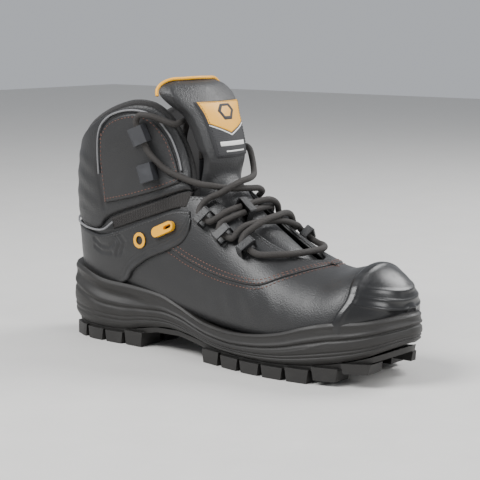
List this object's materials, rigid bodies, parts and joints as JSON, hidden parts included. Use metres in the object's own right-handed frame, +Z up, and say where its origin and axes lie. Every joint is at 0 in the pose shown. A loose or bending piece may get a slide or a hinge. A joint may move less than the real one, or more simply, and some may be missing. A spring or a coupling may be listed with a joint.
{
  "type": "steel toe work boot",
  "caption": "Ankle-high laced work boot with a steel toe cap, lugged rubber sole, padded collar and tongue, lacing hooks and a removable footbed.",
  "frame": {"origin": "on the floor under the middle of the boot's length and width", "axes": "+X to the toe, -Y to the outer side of the foot, +Z up"},
  "size_m": [0.31, 0.1068, 0.2007],
  "materials": {
    "leather": "semi-matte smooth leather",
    "soft_leather": "soft padded leather",
    "mesh": "woven mesh",
    "rubber": "matte moulded rubber",
    "gloss_rubber": "glossy moulded rubber",
    "foam": "foam with a felt face",
    "steel": "bare",
    "black_steel": "satin black",
    "yellow": "satin",
    "reflective": "grey reflective tape",
    "board": "pressed fibre",
    "cord": "braided",
    "aglet": "clear coated film"
  },
  "bodies": {
    "boot": {"midsole": "rubber", "shank": "steel", "outsole": "rubber", "collar_binding": "mesh", "vamp": "leather", "quarter": "leather", "facing": "leather", "lining": "mesh", "steel_toe_cap": "steel", "heel_stiffener": "board", "insole_board": "board", "penetration_plate": "steel", "toe_guard": "gloss_rubber", "heel_cage": "leather", "flex_band_lateral": "mesh", "flex_band_medial": "mesh", "collar": "soft_leather", "hook_panel_lateral": "leather", "hook_panel_medial": "leather", "hook_lateral_1": "black_steel", "rivet_lateral_1": "black_steel", "hook_lateral_2": "black_steel", "rivet_lateral_2": "black_steel", "hook_medial_1": "black_steel", "rivet_medial_1": "black_steel", "hook_medial_2": "black_steel", "rivet_medial_2": "black_steel", "eyelet_lateral": "yellow", "badge_lateral": "yellow", "eyelet_medial": "yellow", "badge_medial": "yellow", "lace_loop_lateral_1": "soft_leather", "lace_loop_lateral_2": "soft_leather", "lace_loop_lateral_3": "soft_leather", "lace_loop_medial_1": "soft_leather", "lace_loop_medial_2": "soft_leather", "lace_loop_medial_3": "soft_leather", "tongue_lower": "soft_leather", "cuff_piping_lateral": "reflective", "cuff_piping_medial": "reflective", "heel_piping": "reflective", "tongue_keeper": "soft_leather", "lace": "cord", "aglet_lateral": "aglet", "aglet_medial": "aglet"},
    "tongue_top": {"tongue_upper": "soft_leather", "tongue_label": "yellow", "tongue_piping": "yellow"},
    "footbed": {"footbed": "foam"}
  },
  "joints": [
    {"name": "tongue_flex", "type": "hinge", "parent": "boot", "child": "tongue_top", "pos_m": [-0.018, 0, 0.139], "axis": [0, 1, 0], "range_deg": [0, 28]},
    {"name": "footbed_lift", "type": "hinge", "parent": "boot", "child": "footbed", "pos_m": [0.131, 0, 0.046], "axis": [0, 1, 0], "range_deg": [0, 8]}
  ]
}
